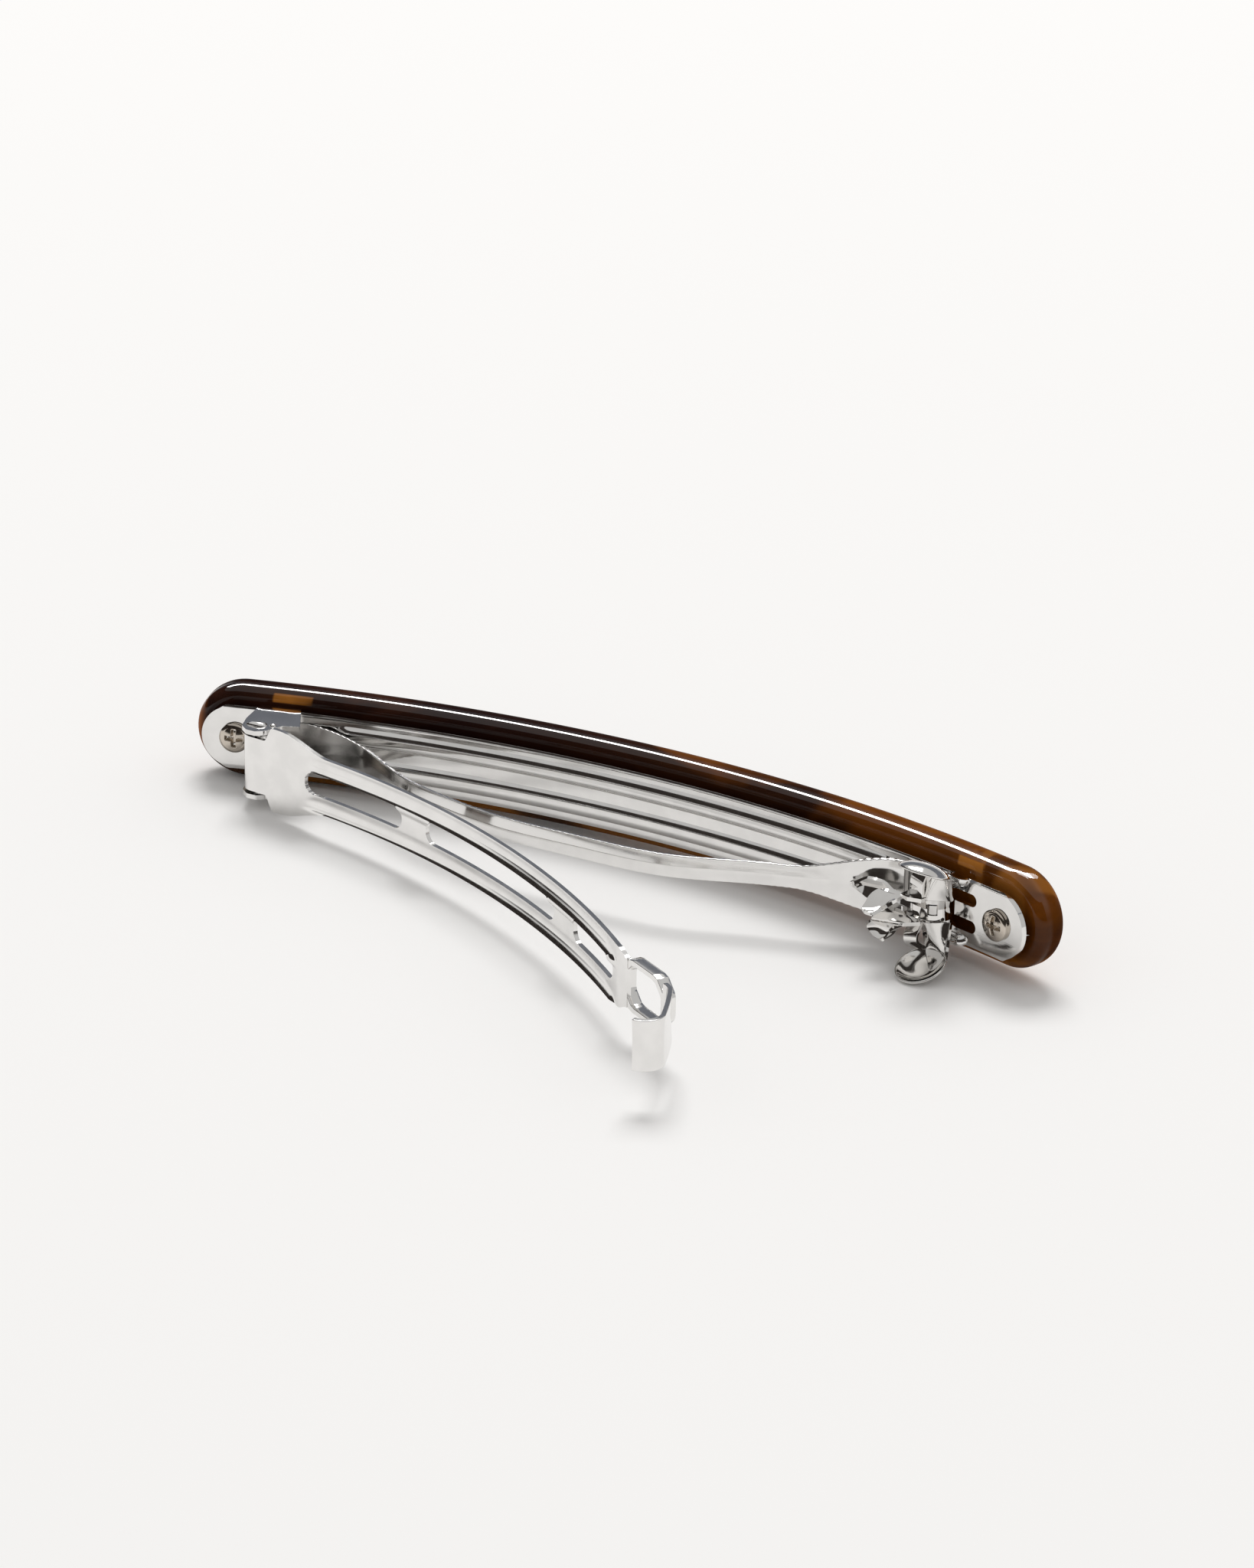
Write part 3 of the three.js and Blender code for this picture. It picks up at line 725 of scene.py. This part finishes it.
# each leg's outline and slanted hole in (s, h), the arch of its neck, and its claw's two edges
legs = {
    "lower": {"line": [(33.9, 1.15), (35.7, 1.15), (38.75, 4.0), (37.6, 5.3), (34.4, 6.5),
                       (33.7, 4.0)],
              "hole": (35.3, 2.35, 0.95, 0.55), "arch": 1.05,
              "root": [(34.4, 6.5, -1.3), (37.5, 5.35, -1.22)],
              "lip": [(34.4, 6.5, -1.3), (33.9, 6.6, -2.2), (34.9, 6.5, -3.0), (35.9, 6.3, -3.1),
                      (36.4, 6.0, -2.1), (37.5, 5.35, -1.22)]},
    "upper": {"line": [(35.9, 1.15), (38.55, 1.15), (38.75, 4.0), (37.4, 4.7), (36.3, 4.35)],
              "hole": None, "arch": 0.35,
              "root": [(36.7, 4.3, 1.2), (35.6, 7.8, -0.1)],
              "lip": [(36.7, 4.3, 1.2), (34.3, 5.2, 1.5), (33.9, 6.5, 0.9), (34.0, 7.4, 0.15),
                      (34.5, 7.8, -0.05), (35.6, 7.8, -0.1)]},
}
neckZ = 1.15       # mm from the middle to where necks and fenders leave a leg


def latchSheet(name, points, word, thick, bevel, keep=None):
    surface(name + word, points, word + "_tab_body", "finger_tab_" + word, "latch_steel",
            finishes["latch"], keep=keep, thick=thick, bevel=bevel)


def legPiece(word, side):
    # an upright sheet that leans out a little as it rises
    leg = legs[word]
    s, h = np.meshgrid(np.linspace(33.2, 39.1, 89), np.linspace(0.9, 7.1, 93), indexing="ij")
    s, h, keep = cutOut(s, h, legCut(leg["line"], leg["hole"]), 0.068)
    latchSheet("latch_leg_", place(s, h, side * (1.02 + 0.06 * (h - 1.1))), word, 0.4, 0.06, keep)


def clawPiece(word):
    # straight lines from the leg's head to a curved lip, the sheet between them hollowed
    leg = legs[word]
    v = np.linspace(0, 1, 25)[None, :, None]
    lip = spline(leg["lip"], 61)[:, None]
    root = np.linspace(*np.array(leg["root"]), 61)[:, None]
    u = np.linspace(0, 1, 61)[:, None, None]
    hollow = 0.8 * np.sin(math.pi * v) * np.sin(math.pi * u) + 0.05 * v * np.cos(8 * math.pi * u)
    claw = root * (1 - v) + lip * v - hollow * np.array([-0.5, 0.8, 0.2])
    latchSheet("latch_claw_", place(claw[..., 0], claw[..., 1], claw[..., 2]), word, 0.34, 0.06)


def neckPiece(word, side):
    # a strip from the leg's top edge out to the dish, arched towards the hair
    u = np.linspace(0, 1, 15)[:, None]
    w = np.linspace(0, 1, 40)[None]
    s = (36.9 + 1.7 * u) * (1 - w) + (37.3 + 1.4 * u) * w
    h = 3.6 * (1 - w) + (3.5 - 0.5 * u) * w + legs[word]["arch"] * np.sin(math.pi * w ** 1.4)
    z = side * (neckZ * (1 - w) + (4.2 - 0.2 * u) * w)
    latchSheet("latch_neck_", place(s, h, z), word, 0.4, 0.08)


def fenderPiece(word, side):
    # a ruled sheet from the leg's foot out to the dish's far rim
    u = np.linspace(0, 1, 40)[:, None]
    w = np.linspace(0, 1, 25)[None]
    rootS = 38.2 + 2.5 * u
    rootH = 3.3 - 1.7 * smooth(u, 0.2, 1.0)
    theta = np.radians(238 + 72 * u)
    rimRadius, rimMiddle = 2.5, 5.2
    rimS = disc["s"] + rimRadius * np.cos(theta)
    rimH = disc["h"] + rimRadius * np.sin(theta) * math.cos(disc["tilt"])
    rimZ = rimMiddle + rimRadius * np.sin(theta) * math.sin(disc["tilt"])
    s = rootS * (1 - w ** 1.2) + rimS * w ** 1.2
    h = rootH * (1 - w) + rimH * w
    z = side * (neckZ * (1 - w) + rimZ * w)
    latchSheet("latch_fender_", place(s, h, z), word, 0.4, 0.08)


def tabPieces(word, side):
    legPiece(word, side)
    clawPiece(word)
    neckPiece(word, side)
    fenderPiece(word, side)
    discPiece("finger_disc_" + word, side, word + "_tab_body", "finger_tab_" + word)


def roofed(u, t):
    # the tongue is creased along its middle like a ridge tile, more towards its point
    return (0.1 + 0.45 * smooth(u, 0.6, 0.8)) * (1 - np.abs(t))


def tongueHalf(u):
    # wide at the saddle's hump, narrow between the legs, then a spear head
    spear = 0.58 + 0.54 * smooth(u, 0.8, 0.86) - 1.07 * smooth(u, 0.915, 1.0)
    return spear + 0.7 * (1 - smooth(u, 0.53, 0.58))


tabPieces("upper", 1)
tabPieces("lower", -1)
saddleStrip("latch_tongue", [(39.6, 0.55), (39.6, 1.7), (38.9, 2.75), (37.2, 2.95), (34.2, 3.1),
                             (29.4, 4.3)],
            tongueHalf, 190, 0.36, columns=33, lift=roofed, cut=saddleHole,
            aside=lambda u: 0.32 * smooth(u, 0.78, 0.9))
saddleStrip("latch_foot", [(35.3, 0.55), (36.5, 0.55), (38, 0.55), (39.6, 0.55)],
            lambda u: np.full(np.shape(u), 2.4), 20, 0.45)
print("latch made")


# ---------- camera, floor and light ----------

def cameraAt():
    azimuth, elevation, roll = (math.radians(angle) for angle in (30.62, 22.2, 1.024))
    distance = 557.82
    level = math.cos(elevation)
    back = Vector((math.sin(azimuth) * level, -math.cos(azimuth) * level, math.sin(elevation)))
    right = Vector((math.cos(azimuth), math.sin(azimuth), 0))
    up = back.cross(right)
    right, up = (right * math.cos(roll) + up * math.sin(roll),
                 up * math.cos(roll) - right * math.sin(roll))
    turn = Matrix((right, up, back)).transposed().to_4x4()
    target = Vector((0, frontY + 2.0 * mm, midZ))
    data = bpy.data.cameras.new("camera")
    data.lens = 125.74
    data.sensor_width = 36
    data.sensor_fit = "AUTO"
    data.shift_x, data.shift_y = -0.0148, 0.0084
    data.clip_start, data.clip_end = 0.01, 20
    camera = bpy.data.objects.new("camera", data)
    camera.matrix_world = Matrix.Translation(target + back * distance * mm) @ turn
    bpy.context.collection.objects.link(camera)
    bpy.context.scene.camera = camera


def floorPiece():
    # a wide sweep, tipped so that it meets the bar's lower edge and the lower disc
    rise, run, levelAt, reach = 1.116, 88.0, 0.038, 3.0
    x = np.array([-reach, reach])[:, None]
    y = np.array([-reach, reach])[None]
    z = (levelAt - x) * (rise / run) + 0 * y
    mesh = bpy.data.meshes.new("floor")
    points = np.stack(np.broadcast_arrays(x, y, z), axis=-1).reshape(-1, 3)
    mesh.from_pydata(points.tolist(), [], [(0, 2, 3, 1)])
    f = Finish("floor_paper", Base_Color=(0.93, 0.92, 0.91, 1), Roughness=0.75,
               Specular_IOR_Level=0.0)
    mesh.materials.append(f.material)
    floor = bpy.data.objects.new("floor", mesh)
    bpy.context.collection.objects.link(floor)


def softbox(name, where, size, power, only=None):
    data = bpy.data.lights.new(name, "AREA")
    data.shape = "RECTANGLE"
    data.size, data.size_y = size
    data.energy = power
    light = bpy.data.objects.new(name, data)
    turn = (-Vector(where)).to_track_quat("-Z", "Y").to_matrix().to_4x4()
    light.matrix_world = Matrix.Translation(where) @ turn
    bpy.context.collection.objects.link(light)
    if only:
        # this light falls on one piece alone, and only in its gloss
        light.visible_diffuse = False
        lit = bpy.data.collections.new(name + "_falls_on")
        lit.objects.link(only)
        light.light_linking.receiver_collection = lit


def studioCard(name, radius, fromAngle, toAngle, low, high, colour):
    # a curved card out of the picture, seen only in the polished sheet: gives it its bands
    count = 40
    angle = np.radians(np.linspace(fromAngle, toAngle, count))[:, None]
    z = np.array([low, high])[None]
    points = np.stack(np.broadcast_arrays(radius * np.sin(angle), -radius * np.cos(angle), z),
                      axis=-1)
    i = np.arange(count - 1)[:, None] * 2
    quads = np.concatenate([i, i + 2, i + 3, i + 1], axis=1)
    mesh = bpy.data.meshes.new(name)
    mesh.from_pydata(points.reshape(-1, 3).tolist(), [], quads.tolist())
    f = Finish(name + "_paint", Base_Color=(*colour, 1), Roughness=0.9)
    mesh.materials.append(f.material)
    card = bpy.data.objects.new(name, mesh)
    card.visible_shadow = False
    card.visible_camera = False
    card.visible_diffuse = False
    bpy.context.collection.objects.link(card)


def studioWorld():
    world = bpy.data.worlds.new("studio")
    world.use_nodes = True
    background = world.node_tree.nodes["Background"]
    background.inputs["Color"].default_value = (1.0, 0.995, 0.985, 1)
    background.inputs["Strength"].default_value = 0.585
    bpy.context.scene.world = world
    bpy.context.scene.view_settings.view_transform = "Standard"


cameraAt()
floorPiece()
studioWorld()
softbox("key_softbox", (-0.8, 1.5, 2.9), (1.6, 1.4), 57.0)
softbox("strip_softbox", (-0.33, 0.45, 0.72), (1.15, 0.2), 32.0, only=barShell)
studioCard("card_dark", 1.2, -115, 80, 0.07, 1.05, (0.020, 0.014, 0.011))
studioCard("card_cool", 1.5, 120, 250, 0.30, 1.0, (0.21, 0.225, 0.26))
print("scene lit")
